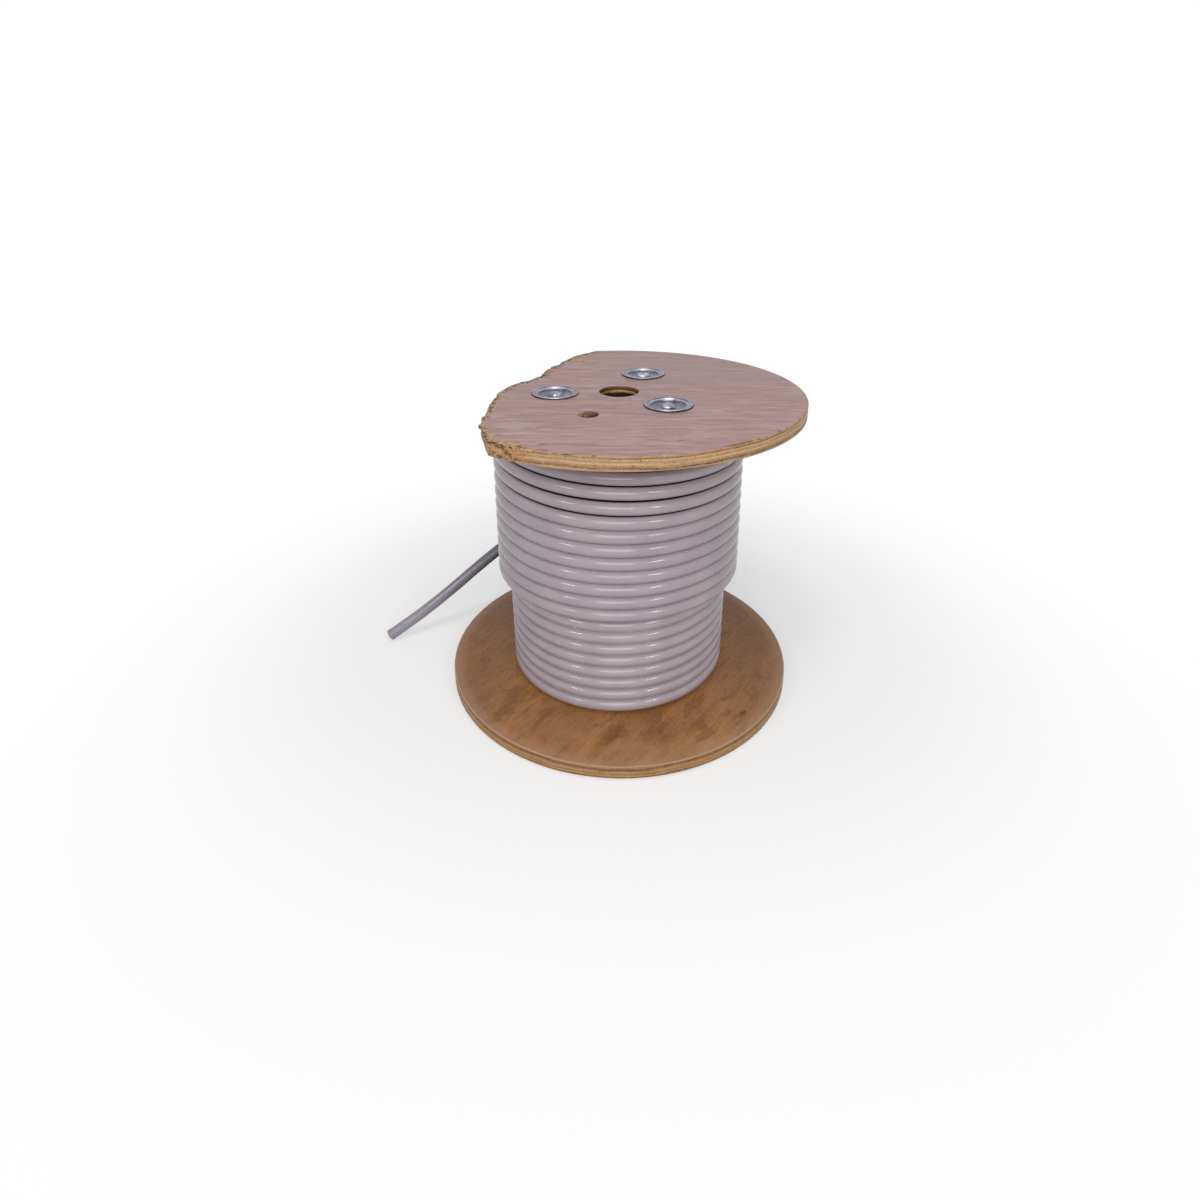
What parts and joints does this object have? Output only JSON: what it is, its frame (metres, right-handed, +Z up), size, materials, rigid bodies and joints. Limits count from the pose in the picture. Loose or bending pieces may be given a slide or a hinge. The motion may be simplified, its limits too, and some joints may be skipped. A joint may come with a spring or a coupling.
{
  "type": "wooden cable drum",
  "caption": "Plywood cable drum standing on end, part full of cable, its top flange broken away at the back left.",
  "frame": {"origin": "on the drum's axis, at the floor that the lower cup washers stand on", "axes": "+Z up along the drum's axis, +Y away from the viewer of the picture, +X to the right"},
  "size_m": [0.4995, 0.4, 0.347],
  "materials": {
    "plywood": "satin",
    "cardboard": "matte",
    "cable_sheath": "satin",
    "galvanised_steel": "satin"
  },
  "bodies": {
    "root": {"top_flange": "plywood", "bottom_flange": "plywood", "core_barrel": "cardboard", "cable_inner_layer": "cable_sheath", "cable_outer_layer": "cable_sheath", "cable_tail": "cable_sheath", "tie_rod_1": "galvanised_steel", "tie_rod_2": "galvanised_steel", "tie_rod_3": "galvanised_steel", "cup_washer_top_1": "galvanised_steel", "cup_washer_top_2": "galvanised_steel", "cup_washer_top_3": "galvanised_steel", "cup_washer_bottom_1": "galvanised_steel", "cup_washer_bottom_2": "galvanised_steel", "cup_washer_bottom_3": "galvanised_steel"}
  },
  "joints": []
}
